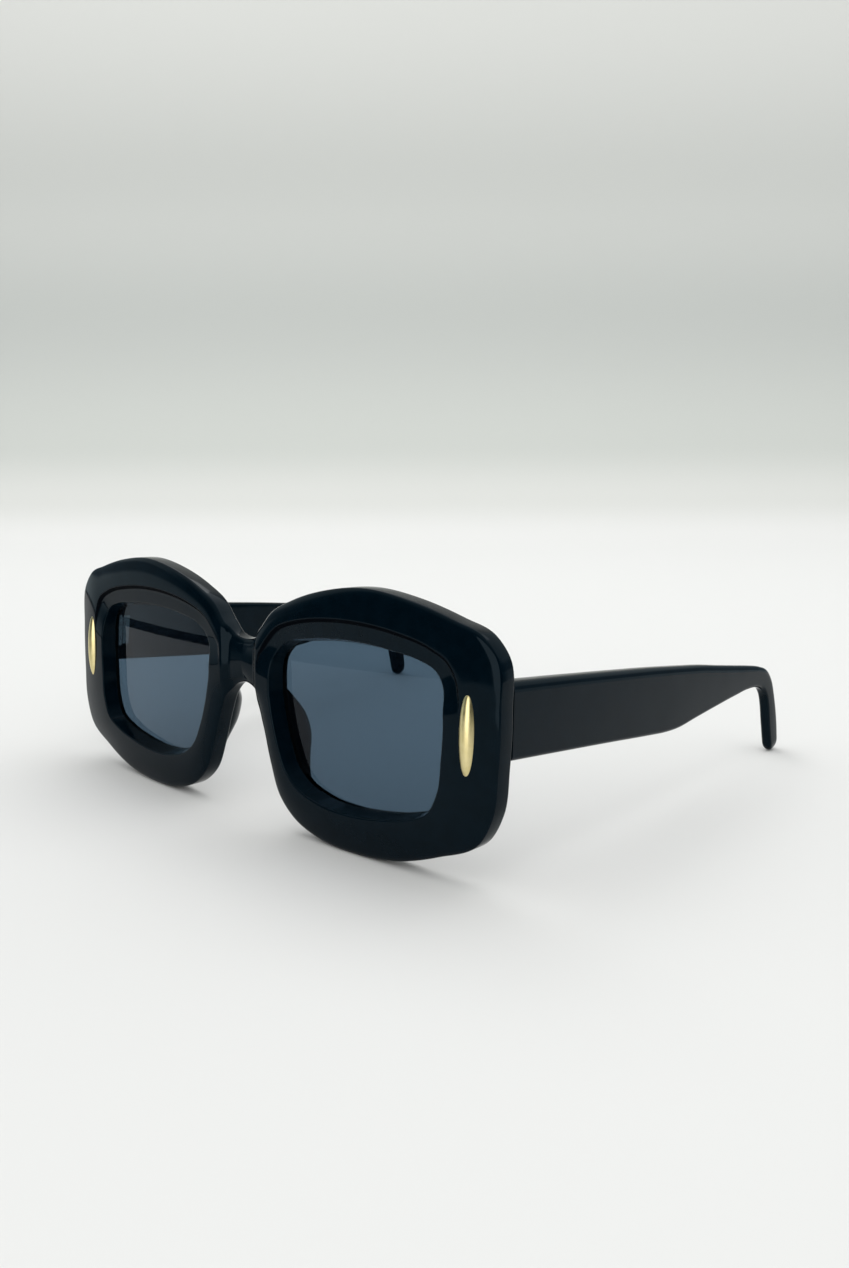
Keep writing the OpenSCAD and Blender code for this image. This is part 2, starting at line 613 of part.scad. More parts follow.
stand() front_frame();
stand() lens();  // lens_left
stand() on_side(-1) lens();  // lens_right
stand() nose_pad();  // nose_pad_left
stand() on_side(-1) nose_pad();  // nose_pad_right
stand() inlay();  // inlay_left
stand() on_side(-1) inlay();  // inlay_right
stand() front_hinge();  // front_hinge_left
stand() on_side(-1) front_hinge();  // front_hinge_right
stand() temple_hinge();  // temple_hinge_left
stand() on_side(-1) temple_hinge();  // temple_hinge_right
stand() hinge_screw();  // hinge_screw_left
stand() on_side(-1) hinge_screw();  // hinge_screw_right
stand() temple();  // temple_left
stand() on_side(-1) temple();  // temple_right
stand() temple_core();  // temple_core_left
stand() on_side(-1) temple_core();  // temple_core_right
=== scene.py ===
import math

import bmesh
import bpy
import numpy as np
from mathutils import Matrix, Vector


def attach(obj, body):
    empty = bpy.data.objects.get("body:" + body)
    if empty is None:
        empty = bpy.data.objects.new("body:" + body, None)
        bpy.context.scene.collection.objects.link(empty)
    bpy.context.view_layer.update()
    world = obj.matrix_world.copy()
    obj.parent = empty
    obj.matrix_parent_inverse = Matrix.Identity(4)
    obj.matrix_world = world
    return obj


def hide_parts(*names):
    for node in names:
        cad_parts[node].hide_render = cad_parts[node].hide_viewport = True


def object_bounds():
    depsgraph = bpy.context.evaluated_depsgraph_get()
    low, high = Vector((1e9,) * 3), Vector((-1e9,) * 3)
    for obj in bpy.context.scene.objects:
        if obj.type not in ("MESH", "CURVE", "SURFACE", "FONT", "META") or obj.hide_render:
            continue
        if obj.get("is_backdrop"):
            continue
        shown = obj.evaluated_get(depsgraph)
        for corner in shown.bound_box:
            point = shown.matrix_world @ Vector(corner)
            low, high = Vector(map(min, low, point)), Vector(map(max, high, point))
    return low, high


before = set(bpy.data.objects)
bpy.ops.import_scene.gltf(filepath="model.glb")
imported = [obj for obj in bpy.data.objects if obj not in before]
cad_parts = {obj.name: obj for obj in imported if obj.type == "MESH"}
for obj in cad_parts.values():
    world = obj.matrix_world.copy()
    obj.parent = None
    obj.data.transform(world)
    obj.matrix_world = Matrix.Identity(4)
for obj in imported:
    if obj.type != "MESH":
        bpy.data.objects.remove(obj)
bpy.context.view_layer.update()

# Camera
# It stands off the wearer's left front, a little above the brows and looking slightly down.
photo_h = 1268
focal_px = 1090.6
horizon_px = 583.6

camera = bpy.data.objects.new("camera", bpy.data.cameras.new("camera"))
camera.data.lens = camera.data.sensor_width * focal_px / photo_h
camera.data.shift_y = (horizon_px - photo_h / 2) / photo_h
camera.data.clip_start = 0.01
camera.location = (0.1925, -0.21741, 0.09003)
camera.rotation_euler = [math.radians(a) for a in (81.516, 0.197, 41.644)]
bpy.context.scene.collection.objects.link(camera)
bpy.context.scene.camera = camera
bpy.context.scene.view_settings.view_transform = "Standard"

# Table and backdrop
# One sheet of pale matt board lies on the table and curves up behind the object. Painted shade turns it
# from white to a light grey-green, darkest partway up the cove and lighter again towards the top.
mm = 0.001


def linear(code):
    """An sRGB hex colour as linear red, green, blue and alpha."""
    parts = [int(code[i:i + 2], 16) / 255 for i in (1, 3, 5)]
    return [p / 12.92 if p <= 0.04045 else ((p + 0.055) / 1.055) ** 2.4 for p in parts] + [1.0]


def node(tree, kind, inputs=None, **settings):
    """Adds a shader node. Each input is a value or the socket that it is linked to."""
    made = tree.nodes.new("ShaderNode" + kind)
    for name, value in settings.items():
        setattr(made, name, value)
    for key, value in (inputs or {}).items():
        if isinstance(value, bpy.types.NodeSocket):
            tree.links.new(value, made.inputs[key])
        else:
            made.inputs[key].default_value = value
    return made


def material(name):
    """A new material and its empty node tree."""
    made = bpy.data.materials.new(name)
    made.use_nodes = True
    made.node_tree.nodes.clear()
    return made, made.node_tree


def ramp(tree, value, stops, interpolation="EASE"):
    """A colour ramp through (place, colour) stops."""
    made = node(tree, "ValToRGB", {"Fac": value})
    band = made.color_ramp
    band.interpolation = interpolation
    while len(band.elements) < len(stops):
        band.elements.new(0.5)
    for element, (place, colour) in zip(band.elements, stops):
        element.position, element.color = place, colour
    return made


sheet_front, sheet_back = -0.24, 0.5
sheet_front_w, sheet_back_w = 0.382, 1.162
cove_r = 0.34
wall_low, wall_top = cove_r + 0.02, 1.0
flat_n, cove_n, wall_n = 30, 30, 20
sheet_line = [(y, 0.0) for y in np.linspace(sheet_front, sheet_back, flat_n)]
sheet_line += [(sheet_back + cove_r * math.sin(a), cove_r * (1 - math.cos(a)))
               for a in np.radians(np.linspace(0, 90, cove_n + 1)[1:])]
sheet_line += [(sheet_back + cove_r, z) for z in np.linspace(wall_low, wall_top, wall_n)]
sheet_mesh = bpy.data.meshes.new("table_sheet")
sheet_widths = np.interp([y for y, z in sheet_line], [sheet_front, sheet_back],
                         [sheet_front_w, sheet_back_w])
sheet_mesh.from_pydata(
    [(x * w, y, z) for w, (y, z) in zip(sheet_widths, sheet_line) for x in (-0.5, 0.5)], [],
    [(2 * i, 2 * i + 1, 2 * i + 3, 2 * i + 2) for i in range(len(sheet_line) - 1)])
sheet_mesh.shade_smooth()
sheet = bpy.data.objects.new("table_sheet", sheet_mesh)
sheet.rotation_euler.z = camera.rotation_euler.z
bpy.context.scene.collection.objects.link(sheet)

# Uncoated card: no shine, and a fibre grain that is only just felt.
grain_size = 1.111 * mm
shade_top_h = 0.5
board, tree = material("matt_card")
height = node(tree, "SeparateXYZ", {0: node(tree, "TexCoord").outputs["Object"]}).outputs["Z"]
level = node(tree, "MapRange", {"Value": height, "From Max": shade_top_h}).outputs[0]
# Painted shade: the ramp darkens the board up the cove and lightens it again towards the top.
backdrop_shade = ramp(tree, level, [(0.0, linear("#DEDEDD")), (0.05, linear("#D0D1CE")), (0.14, linear("#C1C4C0")),
                          (0.38, linear("#B8BBB8")), (0.6, linear("#C4C6C3")), (1.0, linear("#D1D2CF"))])
grain = node(tree, "TexNoise", {"Vector": node(tree, "TexCoord").outputs["Object"],
                                "Scale": 1 / grain_size})
card = node(tree, "BsdfPrincipled", {
    "Base Color": backdrop_shade.outputs["Color"], "Roughness": 0.85, "IOR": 1.45, "Specular IOR Level": 0.2,
    "Normal": node(tree, "Bump", {"Height": grain.outputs[0], "Strength": 0.05,
                                  "Distance": 0.1 * mm}).outputs[0]})
node(tree, "OutputMaterial", {"Surface": card.outputs[0]})
sheet_mesh.materials.append(board)
sheet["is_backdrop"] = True

# A dark strip on the table, seen only in mirror images, is a painted reflection: it draws a dark line in
# the lenses.
strip_w, strip_lift = 26 * mm, 0.2 * mm
strip_mesh = bpy.data.meshes.new("painted_reflection_strip")
strip_mesh.from_pydata(
    [(d - w / 2, y, strip_lift) for y, w in ((sheet_front, sheet_front_w), (sheet_back, sheet_back_w))
     for d in (0, strip_w)], [], [(0, 1, 3, 2)])
reflection_strip = bpy.data.objects.new("painted_reflection_strip", strip_mesh)
reflection_strip.rotation_euler.z = camera.rotation_euler.z
reflection_strip.visible_camera = reflection_strip.visible_diffuse = reflection_strip.visible_transmission = reflection_strip.visible_shadow = False
bpy.context.scene.collection.objects.link(reflection_strip)
# Painted reflection: plain matt black, so the strip mirrors as a dark line.
strip_black, tree = material("painted_reflection_black")
strip_surface = node(tree, "BsdfPrincipled", {
    "Base Color": linear("#05070A"), "Roughness": 1.0, "Specular IOR Level": 0.0})
node(tree, "OutputMaterial", {"Surface": strip_surface.outputs[0]})
strip_mesh.materials.append(strip_black)
reflection_strip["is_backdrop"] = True

# Studio light
# A broad soft box hangs over the table, a second one stands high at the back left, a third one by
# the camera only glints in polished edges, and the pale room gives the rest.
none, full = linear("#000000"), linear("#FFFFFF")
world = bpy.data.worlds.new("studio")
bpy.context.scene.world = world
world.use_nodes = True
world.node_tree.nodes.clear()
tree = world.node_tree
paths = node(tree, "LightPath")
way = node(tree, "TexCoord").outputs["Generated"]
turn = camera.rotation_euler.z
behind = node(tree, "VectorMath", {0: way, 1: (-math.sin(turn), math.cos(turn), 0.0)},
              operation="DOT_PRODUCT").outputs["Value"]
depth = node(tree, "MapRange", {"Value": behind, "From Min": -0.5, "From Max": 1.0}).outputs[0]
sides = ramp(tree, depth, [(0.0, linear("#1E262B")), (0.28, linear("#2C373D")),
                           (0.36, linear("#76888F")), (0.44, linear("#CDDDE3")),
                           (1.0, linear("#CFDEE2"))], interpolation="LINEAR")
rise = node(tree, "MapRange", {"Value": node(tree, "SeparateXYZ", {0: way}).outputs["Z"],
                               "From Min": -0.3, "From Max": 1.0}).outputs[0]
over = ramp(tree, rise, [(0.6, none), (0.95, full)])
# The room's walls are darker in a band just above the table's level.
dark_wall = ramp(tree, rise, [(0.24, none), (0.29, full), (0.4, full), (0.5, none)])
walls = node(tree, "Mix", {0: dark_wall.outputs[0], 6: sides.outputs[0], 7: linear("#A0A6AD")},
             data_type="RGBA", blend_type="MULTIPLY")
room = node(tree, "Mix", {0: over.outputs[0], 6: walls.outputs[2], 7: linear("#E8ECEC")},
            data_type="RGBA")
fill = node(tree, "Mix", {0: paths.outputs["Is Diffuse Ray"], 6: room.outputs[2], 7: linear("#FCFDFC")},
            data_type="RGBA")
seen = ramp(tree, rise, [(0.0, linear("#ECEDEA")), (0.22, linear("#ECEDEA")), (0.32, linear("#C8CECA")),
                         (0.6, linear("#DCDEDB"))])
is_seen = node(tree, "Math", {0: paths.outputs["Is Camera Ray"],
                              1: paths.outputs["Is Transmission Ray"]}, operation="MAXIMUM")
room_light = node(tree, "Background", {"Color": fill.outputs[2], "Strength": 1.0})
room_seen = node(tree, "Background", {"Color": seen.outputs[0], "Strength": 1.0})
both = node(tree, "MixShader", {0: is_seen.outputs[0], 1: room_light.outputs[0],
                                2: room_seen.outputs[0]})
node(tree, "OutputWorld", {"Surface": both.outputs[0]})


def soft_box(name, place, target, size, watts):
    """A rectangular lamp at a place, turned to a target."""
    lamp = bpy.data.objects.new(name, bpy.data.lights.new(name, "AREA"))
    lamp.data.shape = "RECTANGLE"
    lamp.data.size, lamp.data.size_y = size
    lamp.data.energy = watts
    lamp.location = place
    lamp.rotation_euler = (Vector(target) - Vector(place)).to_track_quat("-Z", "Y").to_euler()
    bpy.context.scene.collection.objects.link(lamp)
    return lamp


soft_box("top_box", (-0.1, 0.25, 1.1), (0.0, 0.0, 0.0), (1.3, 1.1), 4.8)
soft_box("back_box", (-0.75, 0.45, 0.75), (0.0, 0.0, 0.02), (0.6, 0.6), 2.2)
glint = soft_box("glint_box", (0.32, -0.88, 0.12), (0.0, -0.06, 0.04), (0.8, 0.9), 5.5)
glint.visible_diffuse = glint.visible_camera = glint.visible_transmission = False

# Front
# One piece of black cellulose acetate, cut from sheet, with a rolled edge, a step down to a shelf
# round each opening, and a polished gloss that is slightly wavy from the buffing wheel.
front_w, front_h, front_t = 143.2, 56.4, 5.6
front_wrap, front_lean = 3.6, 2.2
roll_w, roll_d, face_fall, back_roll, bridge_set, panel_w = 1.2, 0.5, 1.0, 0.8, 1.2, 8.0
side_w, eye_h, bridge_w = 12.4, 36.6, 21.6
shelf_w, step_d, eye_draft, groove_d, lens_t = 4.0, 0.7, 0.8, 0.75, 1.7
step_e, shelf_e, lip_e, crown_in, crown_most_share = 0.03, 0.3, 0.3, 1.2, 0.3
step_w, ridge_w, lip_w, slope_w, lens_back = 0.9, 1.3, 0.4, 2.4, 0.35
step_full_share, step_gone_share = 0.4, 0.18
shelf_most_share, step_most_share, ridge_most_share = 0.62, 0.2, 0.6
outline_shares = [
    [0, 0.188], [0.047, 0.199], [0.089, 0.245], [0.142, 0.317], [0.237, 0.378], [0.370, 0.431],
    [0.531, 0.459], [0.698, 0.436], [0.845, 0.388], [0.936, 0.348], [0.986, 0.277], [1, 0.089],
    [0.997, -0.106], [0.983, -0.275], [0.944, -0.372], [0.810, -0.459], [0.663, -0.520],
    [0.510, -0.541], [0.356, -0.528], [0.251, -0.480], [0.187, -0.408], [0.144, -0.284],
    [0.108, -0.142], [0.075, -0.048], [0.038, -0.004], [0, 0.009]]
eye_shares = [
    [-0.490, 0.311], [-0.467, 0.358], [-0.430, 0.404], [-0.377, 0.443], [-0.280, 0.470],
    [-0.126, 0.495], [0.060, 0.500], [0.235, 0.481], [0.368, 0.454], [0.444, 0.413],
    [0.484, 0.339], [0.500, 0.186], [0.496, -0.046], [0.477, -0.251], [0.430, -0.366],
    [0.317, -0.434], [0.163, -0.478], [-0.002, -0.500], [-0.177, -0.484], [-0.307, -0.426],
    [-0.381, -0.344], [-0.430, -0.219], [-0.467, -0.077], [-0.484, 0.011], [-0.490, 0.055],
    [-0.496, 0.087], [-0.500, 0.164], [-0.500, 0.240]]
half_w = front_w / 2
eye_w = half_w - bridge_w / 2 - side_w
eye_mid = np.array([(bridge_w + eye_w) / 2, -0.067 * front_h])
wrap_rate = front_wrap / half_w ** 2
lens_e = front_t - lens_t - lens_back
groove_mid = lens_e + lens_t / 2
front_steps = 10
back_roll_n, roll_n, face_n, ridge_n, step_n, shelf_n, lip_n, back_n = 6, 9, 20, 5, 10, 6, 5, 6
wall_shares = (0.35, 0.7, 1.0)
sharp_deg = 38
weld = 0.0005 * mm


def through(before, points, after, steps):
    """A smooth curve through the points, with so many steps from each point to the next."""
    line = np.vstack([before, points, after]).astype(float)
    size = np.linalg.norm(np.diff(line, axis=0), axis=1)[:, None]
    way = np.diff(line, axis=0) / size
    lean = (way[:-1] * size[1:] + way[1:] * size[:-1]) / (size[:-1] + size[1:])
    t = (np.arange(steps) / steps)[:, None]
    parts = [(2 * t ** 3 - 3 * t ** 2 + 1) * line[i] + (t ** 3 - 2 * t ** 2 + t) * size[i] * lean[i - 1]
             + (3 * t ** 2 - 2 * t ** 3) * line[i + 1] + (t ** 3 - t ** 2) * size[i] * lean[i]
             for i in range(1, len(line) - 2)]
    return np.vstack(parts + [line[-2:-1]])


def smooth(t):
    """An even rise from 0 to 1, level at both ends."""
    t = np.clip(t, 0, 1)
    return t * t * (3 - 2 * t)


outline_pts = np.array(outline_shares) * [half_w, front_h]
outline = through(outline_pts[1] * [-1, 1], outline_pts, outline_pts[-2] * [-1, 1], front_steps)
eye_pts = np.array(eye_shares) * [eye_w, eye_h]
eye = eye_mid + through(eye_pts[-1], np.vstack([eye_pts, eye_pts[:1]]), eye_pts[1], front_steps)[:-1]
arch_k, rows = len(outline) - 1, len(eye)
along = np.vstack([outline[1] - outline[1] * [-1, 1], outline[2:] - outline[:-2],
                   outline[-2] * [-1, 1] - outline[-2]])
along /= np.linalg.norm(along, axis=1)[:, None]
inward = np.c_[along[:, 1], -along[:, 0]]
up_bridge = (np.arange(1, rows - arch_k) / (rows - arch_k))[:, None]


def edge(a):
    """The outline moved inwards by a, then up the middle of the bridge."""
    line = outline + inward * a
    return np.vstack([line, line[-1] * (1 - up_bridge) + line[0] * up_bridge])


rim_w = np.linalg.norm(eye - edge(roll_w), axis=1)
face_way = (eye - edge(roll_w)) / rim_w[:, None]
shelf = np.minimum(shelf_w, shelf_most_share * rim_w)
soft = np.minimum(step_w, step_most_share * rim_w)
step_b = shelf + soft / 2
ridge_b = step_b + np.minimum(ridge_w, ridge_most_share * (rim_w - step_b))
foot_b = shelf - soft / 2
high = (eye[:, 1] - eye_mid[1]) / eye_h
share = smooth((high - step_gone_share) / (step_full_share - step_gone_share))
step, ridge_fall, shelf_fall = step_d * share, step_e * share, shelf_e * share
crown_b = np.minimum(crown_in, crown_most_share * rim_w) * (1 - share) + ridge_b * share
on_edge = np.ones(rows)
on_edge[arch_k + 1:] = (2 * up_bridge[:, 0] - 1) ** 2


def from_eye(b):
    """The opening's edge moved outwards by b over the face."""
    return eye - face_way * np.reshape(b, (-1, 1))


def wrap(x):
    """How far the curved front lies back at x."""
    return wrap_rate * x * x


def back_at(p, e):
    """Points of the outline's plane as points e behind the curved front."""
    return np.c_[p[:, 0], wrap(p[:, 0]) + e, p[:, 1]]


def front_at(p, e):
    """The same on the face, which is set back at the bridge."""
    set_back = bridge_set * (1 - smooth((np.abs(p[:, 0]) - panel_w / 2) / slope_w))
    return back_at(p, e) + np.c_[0 * set_back, set_back, 0 * set_back]


def fall(b):
    """How far the pillowed face lies behind its crown at b from the opening."""
    off = np.maximum(b - crown_b, 0) / (rim_w + roll_w - crown_b)
    return face_fall * on_edge * off ** 2


def face_line():
    """The face from the rolled edge to the lip, with the step down to the shelf."""
    line = [front_at(from_eye(b), fall(b)) for b in np.linspace(rim_w, ridge_b, face_n + 1)[1:]]
    for t in np.linspace(0, 1, ridge_n + 1)[1:]:
        b = ridge_b + (step_b - ridge_b) * t
        line.append(front_at(from_eye(b), fall(b) + ridge_fall * t * t))
    lean = 2 * ridge_fall / (ridge_b - step_b) * (foot_b - step_b)
    rest = shelf_fall / (foot_b - lip_w) * (step_b - foot_b)
    for t in np.linspace(0, 1, step_n + 1)[1:]:
        b = step_b + (foot_b - step_b) * t
        down = (ridge_fall + (step - ridge_fall) * smooth(t) - lean * t * (1 - t) ** 2
                + rest * t * t * (t - 1))
        line.append(front_at(from_eye(b), fall(b) + down))
    for t in np.linspace(0, 1, shelf_n + 1)[1:]:
        b = foot_b + (lip_w - foot_b) * t
        line.append(front_at(from_eye(b), fall(b) + step + shelf_fall * t))
    return line


def rim_sections():
    """The rim's sections, one column of points for each place along the profile."""
    lip_turns = np.radians(np.linspace(0, 90, lip_n + 1)[1:])
    line = [back_at(edge(back_roll * (1 - math.sin(a))), front_t - back_roll * (1 - math.cos(a)))
            for a in np.radians(np.linspace(0, 90, back_roll_n + 1))]
    for a in np.radians(np.linspace(0, 90, roll_n + 1)):
        inside = roll_w * (1 - math.cos(a))
        line.append(front_at(edge(inside), fall(rim_w + roll_w - inside) + roll_d * (1 - math.sin(a))))
    face_end = len(line) - 1
    line += face_line()
    line += [front_at(from_eye(lip_w * (1 - math.sin(a))), step + shelf_fall + lip_e * (1 - math.cos(a)))
             for a in lip_turns]
    rim_inner = back_at(from_eye(-eye_draft), lens_e)
    line += [line[-1] * (1 - t) + rim_inner * t for t in wall_shares]
    line += [back_at(from_eye(groove_d - eye_draft), groove_mid),
             back_at(from_eye(-eye_draft), lens_e + lens_t)]
    corner = front_t - lens_e - lens_t
    line += [back_at(from_eye(lip_w * (1 - math.cos(a)) - eye_draft),
                     lens_e + lens_t + corner * math.sin(a)) for a in lip_turns]
    back_from, back_to = from_eye(lip_w - eye_draft), edge(back_roll)
    line += [back_at(back_from * (1 - t) + back_to * t, front_t)
             for t in np.linspace(0, 1, back_n + 1)[1:-1]]
    return np.stack(line, axis=1), face_end


front_y, front_z = -65.3663, 30.7307
front_spot = (Matrix.Translation((0, front_y, front_z))
              @ Matrix.Rotation(math.radians(-front_lean), 4, "X"))


def placed(points, spot):
    """Points in millimetres in a piece's own frame, as metres in the part's frame."""
    turn = np.array(spot)
    return (np.asarray(points).reshape(-1, 3) @ turn[:3, :3].T + turn[:3, 3]) * mm


def piece(name, points, faces, sharp=sharp_deg, second=()):
    """A closed smooth mesh, with its edges sharp above an angle and some faces in a second material."""
    mesh = bpy.data.meshes.new(name)
    mesh.from_pydata([tuple(p) for p in points], [], faces)
    for i in second:
        mesh.polygons[i].material_index = 1
    work = bmesh.new()
    work.from_mesh(mesh)
    bmesh.ops.remove_doubles(work, verts=work.verts, dist=weld)
    bmesh.ops.recalc_face_normals(work, faces=work.faces)
    work.to_mesh(mesh)
    work.free()
    mesh.shade_smooth()
    mesh.set_sharp_from_angle(angle=math.radians(sharp))
    made = bpy.data.objects.new(name, mesh)
    bpy.context.scene.collection.objects.link(made)
    return made


def dress(made, body, slot, finish, *nodes):
    """Gives a new piece its material and its body, and hides the nodes that it stands for; the slot is
    not used.
    """
    made.data.materials.append(finish)
    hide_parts(*nodes)
    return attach(made, body)


def carved(made, low, high, spot):
    """Cuts a box, given by two corners in millimetres, out of a piece."""
    corners = placed([(x, y, z) for x in (low[0], high[0]) for y in (low[1], high[1])
                      for z in (low[2], high[2])], spot)
    mesh = bpy.data.meshes.new("pocket")
    mesh.from_pydata([tuple(c) for c in corners], [],
                     [(0, 1, 3, 2), (4, 6, 7, 5), (0, 4, 5, 1), (2, 3, 7, 6), (0, 2, 6, 4),
                      (1, 5, 7, 3)])
    tool = bpy.data.objects.new("pocket", mesh)
    bpy.context.scene.collection.objects.link(tool)
    cut = made.modifiers.new("pocket", "BOOLEAN")
    cut.object, cut.operation, cut.solver = tool, "DIFFERENCE", "EXACT"
    ready = made.evaluated_get(bpy.context.evaluated_depsgraph_get())
    made.data = bpy.data.meshes.new_from_object(ready)
    made.modifiers.clear()
    bpy.data.objects.remove(tool)
    made.data.set_sharp_from_angle(angle=math.radians(sharp_deg))


sections, face_end = rim_sections()
ring = sections.shape[1]
step_middle = face_end + face_n + ridge_n + step_n / 2
front_pts, front_faces, step_faces = [], [], []
for side in (1, -1):
    start = len(front_pts)
    front_pts.extend((sections * [side, 1, 1]).reshape(-1, 3).tolist())
    for k in range(rows):
        for j in range(ring):
            if k < arch_k or j >= face_end:
                if abs(j + 0.5 - step_middle) < step_n / 2 * share[k]:
                    step_faces.append(len(front_faces))
                a, b = k * ring, (k + 1) % rows * ring
                front_faces.append([start + a + j, start + b + j, start + b + (j + 1) % ring,
                                    start + a + (j + 1) % ring])
front = piece("front", placed(front_pts, front_spot), front_faces, second=step_faces)

# Buffed acetate looks wet: a deep blue-black with clear mirror images that waver a little.
acetate, tree = material("polished_cellulose_acetate")
spot = node(tree, "TexCoord").outputs["Object"]
buffing = node(tree, "TexNoise", {"Vector": spot, "Scale": 1 / (14 * mm), "Detail": 1.0})
haze = node(tree, "TexNoise", {"Vector": spot, "Scale": 1 / (3 * mm), "Detail": 4.0})
shade = ramp(tree, haze.outputs[0], [(0.3, linear("#020B12")), (0.7, linear("#030E16"))])
gloss = node(tree, "MapRange", {"Value": haze.outputs[0], "From Min": 0.3, "From Max": 0.7,
                                "To Min": 0.05, "To Max": 0.09})
wave = node(tree, "Bump", {"Height": buffing.outputs[0], "Strength": 0.35, "Distance": 0.25 * mm})
body = node(tree, "BsdfPrincipled", {
    "Base Color": shade.outputs["Color"], "Roughness": gloss.outputs[0], "IOR": 1.48,
    "Specular IOR Level": 0.1, "Specular Tint": linear("#CFEEFF"), "Normal": wave.outputs[0]})
node(tree, "OutputMaterial", {"Surface": body.outputs[0]})
dress(front, "front", "acetate", acetate, "front_frame")

# The step's faces are matt and darker, with almost no shine: painted shade that draws a dark line along
# the step.
step_shade, tree = material("painted_shade_step_acetate")
spot = node(tree, "TexCoord").outputs["Object"]
step_noise = node(tree, "TexNoise", {"Vector": spot, "Scale": 1 / (2 * mm), "Detail": 3.0})
shade = ramp(tree, step_noise.outputs[0], [(0.3, linear("#01040A")), (0.7, linear("#02060C"))])
body = node(tree, "BsdfPrincipled", {
    "Base Color": shade.outputs["Color"], "Roughness": 0.6, "IOR": 1.48, "Specular IOR Level": 0.02})
node(tree, "OutputMaterial", {"Surface": body.outputs[0]})
front.data.materials.append(step_shade)

# Lenses
# Dyed smoke-blue resin, 1.7 mm thick and curved like the front. A bevelled edge holds each one in
# its groove, and a coat that cuts reflections makes it mirror the room as if its IOR were low.
lens_gap = 0.05
lens_steps = 9
lens_sharp_deg = 25
lens_front, lens_rear = lens_e + lens_gap, lens_e + lens_t - lens_gap
rims = [from_eye(-eye_draft)] * 2 + [from_eye(groove_d - eye_draft - 2 * lens_gap)]

tint, tree = material("dyed_resin")
spot = node(tree, "TexCoord").outputs["Object"]
# The smoke-blue dye, with a ramp that makes the lens a shade darker towards the bottom: painted shade.
lens_level = node(tree, "MapRange", {
    "Value": node(tree, "SeparateXYZ", {0: spot}).outputs["Z"], "From Min": 8 * mm, "From Max": 45 * mm})
dye_and_shade = ramp(tree, lens_level.outputs[0], [(0.0, linear("#485C6D")), (1.0, linear("#4B5F70"))])
resin = node(tree, "BsdfPrincipled", {
    "Base Color": dye_and_shade.outputs["Color"], "Roughness": 0.0, "IOR": 1.28, "Transmission Weight": 1.0,
    "Specular Tint": linear("#C4D8EE")})
node(tree, "OutputMaterial", {"Surface": resin.outputs[0]})

for side, word in ((1, "left"), (-1, "right")):
    shares = np.linspace(0, 1, lens_steps)[1:]
    lens_lines = [back_at(eye_mid + (rims[0] - eye_mid) * s, lens_front) for s in shares]
    lens_lines += [back_at(rims[2], groove_mid)]
    lens_lines += [back_at(eye_mid + (rims[0] - eye_mid) * s, lens_rear) for s in shares[::-1]]
    lens_pts = np.vstack(lens_lines + [back_at(eye_mid[None], e) for e in (lens_front, lens_rear)])
    count = len(lens_lines)
    lens_faces = [[r * rows + k, r * rows + (k + 1) % rows, (r + 1) * rows + (k + 1) % rows,
                   (r + 1) * rows + k] for r in range(count - 1) for k in range(rows)]
    lens_faces += [[count * rows, (k + 1) % rows, k] for k in range(rows)]
    lens_faces += [[count * rows + 1, (count - 1) * rows + k, (count - 1) * rows + (k + 1) % rows]
                   for k in range(rows)]
    lens = piece("lens_" + word + "_resin", placed(lens_pts * [side, 1, 1], front_spot), lens_faces,
                 lens_sharp_deg)
    dress(lens, "front", "lens", tint, "lens_" + word)

# Nose pads
# Small blocks of the same acetate, glued behind the rims beside the nose and polished over.
pad_h, pad_w, pad_taper, pad_glue = 5.3, 5.0, 1.8, 0.05
pad_shares = [[0, 0], [0.03, 0.3], [0.18, 0.62], [0.42, 0.88], [0.66, 1], [0.86, 0.95],
              [0.97, 0.76], [0.95, 0.4], [0.92, 0]]
pad_height_shares = [0.2, 0.55, 0.8, 0.93, 1, 0.97, 0.81, 0.63, 0.49, 0.41, 0.37, 0.27, 0.08]
pad_first, pad_last, pad_end_share = 23, 19.34, 0.02
pad_in = back_roll + 0.1
pad_steps = 5
pad_sharp_deg = 50


def open_curve(points, steps):
    """A smooth curve whose two ends run on straight."""
    points = np.asarray(points, float)
    return through(2 * points[0] - points[1], points, 2 * points[-1] - points[-2], steps)


def at_k(k, a):
    """The place k points along the outline, moved inwards by a."""
    low = int(math.floor(k))
    line = edge(a)
    return line[low] * (1 - k + low) + line[low + 1] * (k - low)


pad_section = open_curve(pad_shares, pad_steps)
pad_heights = open_curve([[i, h] for i, h in enumerate(pad_height_shares)], pad_steps)[:, 1]
for side, word in ((1, "left"), (-1, "right")):
    pad_rings = []
    for i, tall in enumerate(pad_heights):
        t = i / (len(pad_heights) - 1)
        k = pad_first + (pad_last - pad_first) * (pad_end_share + (1 - 2 * pad_end_share) * t)
        slant = pad_taper * t ** 1.5
        foot = [at_k(k * front_steps, pad_in + slant + s[0] * (pad_w - slant)) for s in pad_section]
        pad_rings.append(back_at(np.array(foot), front_t + pad_glue + pad_section[:, 1] * pad_h * tall))
    n = len(pad_section)
    pad_faces = [[r * n + j, (r + 1) * n + j, (r + 1) * n + (j + 1) % n, r * n + (j + 1) % n]
                 for r in range(len(pad_rings) - 1) for j in range(n)]
    last = (len(pad_rings) - 1) * n
    pad_faces += [list(range(n)), [last + j for j in range(n)][::-1]]
    pad = piece("nose_pad_" + word + "_acetate",
                placed(np.vstack(pad_rings) * [side, 1, 1], front_spot), pad_faces, pad_sharp_deg)
    dress(pad, "front", "acetate", acetate, "nose_pad_" + word)

